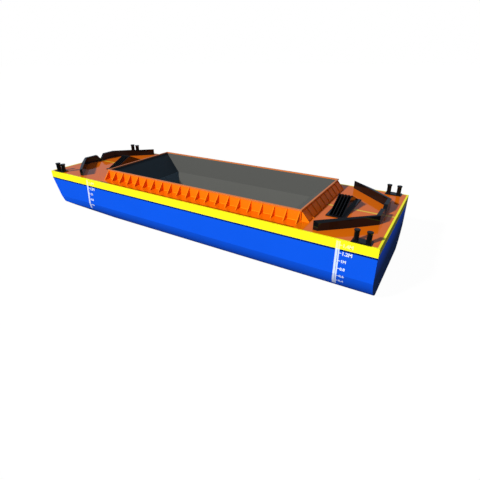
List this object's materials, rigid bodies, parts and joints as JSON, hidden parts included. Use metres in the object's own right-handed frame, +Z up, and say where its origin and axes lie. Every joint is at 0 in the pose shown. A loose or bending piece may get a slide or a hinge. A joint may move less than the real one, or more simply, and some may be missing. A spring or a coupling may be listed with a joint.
{
  "type": "open-hold river barge",
  "caption": "Decked box-hull river barge with a raked bow, square stern, open hopper hold in a ribbed coaming, swept breakwaters, twin mooring bitts and ribbed centreline stands.",
  "frame": {"origin": "on the floor under the middle of the hull, at the bottom centre of the bounding box", "axes": "+X towards the square stern, -X towards the raked bow, +Y towards starboard, +Z up"},
  "size_m": [11.49, 3.84, 1.9124],
  "materials": {
    "hull_blue": "glossy blue marine paint",
    "band_yellow": "glossy yellow marine paint",
    "deck_orange": "semi-gloss red-orange deck paint",
    "coaming_orange": "semi-gloss orange paint",
    "hold_grey": "matt grey primer",
    "fittings_black": "glossy black paint"
  },
  "bodies": {
    "root": {"hull_bow_tank": "hull_blue", "hull_stern_tank": "hull_blue", "hull_wing_port": "hull_blue", "hull_wing_starboard": "hull_blue", "hull_hopper_bow": "hull_blue", "hull_hopper_stern": "hull_blue", "hull_bottom": "hull_blue", "sheer_band_port": "band_yellow", "sheer_band_starboard": "band_yellow", "sheer_band_bow": "band_yellow", "sheer_band_stern": "band_yellow", "deck_bow": "deck_orange", "deck_stern": "deck_orange", "deck_port": "deck_orange", "deck_starboard": "deck_orange", "hold_lining_bow": "hold_grey", "hold_lining_stern": "hold_grey", "hold_lining_port": "hold_grey", "hold_lining_starboard": "hold_grey", "hold_floor": "hold_grey", "coaming_port": "coaming_orange", "coaming_starboard": "coaming_orange", "coaming_bow": "coaming_orange", "coaming_stern": "coaming_orange", "coaming_rim_port": "coaming_orange", "coaming_rim_starboard": "coaming_orange", "coaming_rim_bow": "coaming_orange", "coaming_rim_stern": "coaming_orange", "breakwater_bumper_bow": "fittings_black", "breakwater_wing_bow_port": "fittings_black", "breakwater_wing_bow_starboard": "fittings_black", "breakwater_bumper_stern": "fittings_black", "breakwater_wing_stern_port": "fittings_black", "breakwater_wing_stern_starboard": "fittings_black", "bitt_base_bow_port": "fittings_black", "bitt_post_bow_port_fore": "fittings_black", "bitt_post_bow_port_aft": "fittings_black", "bitt_base_bow_starboard": "fittings_black", "bitt_post_bow_starboard_fore": "fittings_black", "bitt_post_bow_starboard_aft": "fittings_black", "bitt_base_stern_port": "fittings_black", "bitt_post_stern_port_fore": "fittings_black", "bitt_post_stern_port_aft": "fittings_black", "bitt_base_stern_starboard": "fittings_black", "bitt_post_stern_starboard_fore": "fittings_black", "bitt_post_stern_starboard_aft": "fittings_black", "stand_base_stern": "fittings_black", "stand_ribs_stern": "fittings_black", "stand_base_bow": "fittings_black", "stand_ribs_bow": "fittings_black"}
  },
  "joints": []
}
